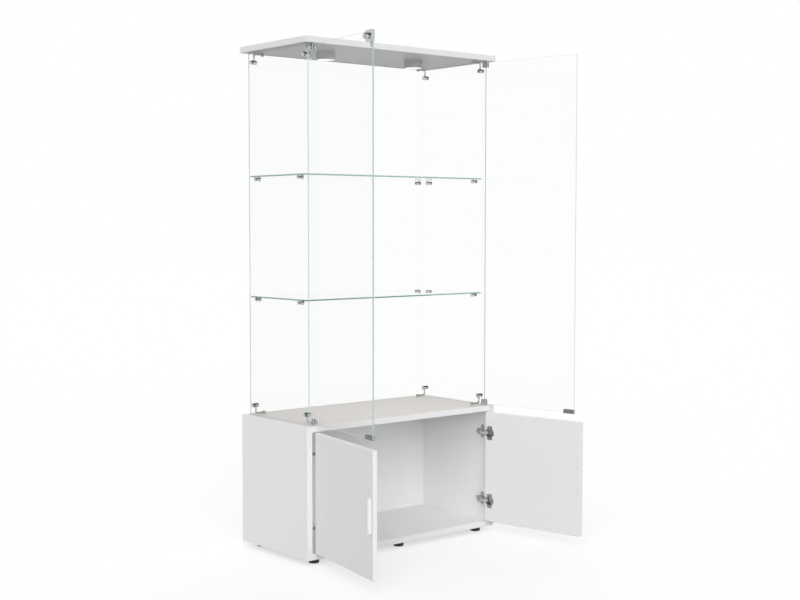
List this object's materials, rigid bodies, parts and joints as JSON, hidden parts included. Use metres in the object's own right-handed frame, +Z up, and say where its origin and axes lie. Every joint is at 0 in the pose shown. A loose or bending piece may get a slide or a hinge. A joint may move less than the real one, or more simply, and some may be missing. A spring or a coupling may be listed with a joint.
{
  "type": "glass display cabinet",
  "caption": "Tall glass display cabinet on a white base cupboard, with hinged glass and panel doors, glass shelves, chrome corner fittings and roof lights.",
  "frame": {"origin": "middle of the cabinet's footprint, on the floor", "axes": "+X to the right seen from the front, +Y to the back, +Z up"},
  "size_m": [1.0104, 0.8236, 1.834],
  "materials": {
    "white_board": "white melamine with banded edges",
    "clear_glass": "clear float glass with polished edges",
    "chrome": "polished plating",
    "plated_steel": "zinc or nickel plating",
    "black_plastic": "moulded black",
    "puck_metal": "satin",
    "frosted_plastic": "frosted diffuser",
    "led_board": "white solder mask",
    "pad_rubber": "clear to grey pad",
    "pivot_plastic": "moulded white",
    "handle_metal": "satin anodised",
    "beech": "bare beech"
  },
  "bodies": {
    "cabinet": {"base_side_left": "white_board", "base_side_right": "white_board", "base_top": "white_board", "base_bottom": "white_board", "base_back": "white_board", "front_feet": "black_plastic", "rear_feet": "black_plastic", "foot_screws": "plated_steel", "carcass_dowels": "beech", "side_glass_left": "clear_glass", "side_glass_right": "clear_glass", "back_glass": "clear_glass", "upper_shelf": "clear_glass", "lower_shelf": "clear_glass", "roof": "white_board", "base_brackets": "chrome", "roof_brackets": "chrome", "bracket_bolts": "chrome", "bracket_screws": "plated_steel", "upper_shelf_pegs": "chrome", "lower_shelf_pegs": "chrome", "peg_bolts": "chrome", "puck_housing_left": "puck_metal", "puck_housing_right": "puck_metal", "puck_lens_left": "frosted_plastic", "puck_lens_right": "frosted_plastic", "puck_led_boards": "led_board", "puck_screws": "plated_steel", "pivot_bushes": "pivot_plastic", "hinge_plates": "plated_steel", "hinge_arms": "plated_steel", "hinge_plate_screws": "plated_steel"},
    "glass_door_left": {"glass_door_left": "clear_glass", "left_pivot_clamps": "chrome", "left_clamp_pads": "pad_rubber", "left_clamp_screws": "plated_steel", "left_door_clip": "chrome", "lock_body": "chrome"},
    "base_door_left": {"base_door_left": "white_board", "left_handle": "handle_metal", "left_handle_screws": "plated_steel", "left_hinge_cups": "plated_steel", "left_cup_screws": "plated_steel"},
    "left_hinge_links": {"left_hinge_links": "plated_steel"},
    "glass_door_right": {"glass_door_right": "clear_glass", "right_pivot_clamps": "chrome", "right_clamp_pads": "pad_rubber", "right_clamp_screws": "plated_steel", "right_door_clip": "chrome"},
    "base_door_right": {"base_door_right": "white_board", "right_handle": "handle_metal", "right_handle_screws": "plated_steel", "right_hinge_cups": "plated_steel", "right_cup_screws": "plated_steel"},
    "right_hinge_links": {"right_hinge_links": "plated_steel"},
    "lock_cylinder": {"lock_cylinder": "chrome", "lock_cam": "plated_steel", "lock_nut": "plated_steel"}
  },
  "joints": [
    {"name": "left_glass_door_swing", "type": "hinge", "parent": "cabinet", "child": "glass_door_left", "pos_m": [-0.412, -0.184, 1.152], "axis": [0, 0, -1], "range_deg": [-98.5, 21.5]},
    {"name": "left_link_turn", "type": "hinge", "parent": "cabinet", "child": "left_hinge_links", "pos_m": [-0.392, -0.193, 0.256], "axis": [0, 0, -1], "range_deg": [-1.76, 44.44]},
    {"name": "left_base_door_swing", "type": "hinge", "parent": "left_hinge_links", "child": "base_door_left", "pos_m": [-0.41021, -0.21156, 0.256], "axis": [0, 0, -1], "range_deg": [-145.44, 5.76]},
    {"name": "right_glass_door_swing", "type": "hinge", "parent": "cabinet", "child": "glass_door_right", "pos_m": [0.412, -0.184, 1.152], "axis": [0, 0, 1], "range_deg": [-100, 20]},
    {"name": "right_link_turn", "type": "hinge", "parent": "cabinet", "child": "right_hinge_links", "pos_m": [0.392, -0.193, 0.256], "axis": [0, 0, 1], "range_deg": [-1.76, 44.44]},
    {"name": "right_base_door_swing", "type": "hinge", "parent": "right_hinge_links", "child": "base_door_right", "pos_m": [0.41021, -0.21156, 0.256], "axis": [0, 0, 1], "range_deg": [-145.44, 5.76]},
    {"name": "lock_turn", "type": "hinge", "parent": "glass_door_left", "child": "lock_cylinder", "pos_m": [-0.46965, -0.56972, 1.79], "axis": [-0.989, 0.1478, 0], "range_deg": [0, 90]}
  ],
  "couplings": [
    {"joint": "left_link_turn", "follows": "left_base_door_swing", "ratio": -0.30556},
    {"joint": "right_link_turn", "follows": "right_base_door_swing", "ratio": -0.30556}
  ]
}
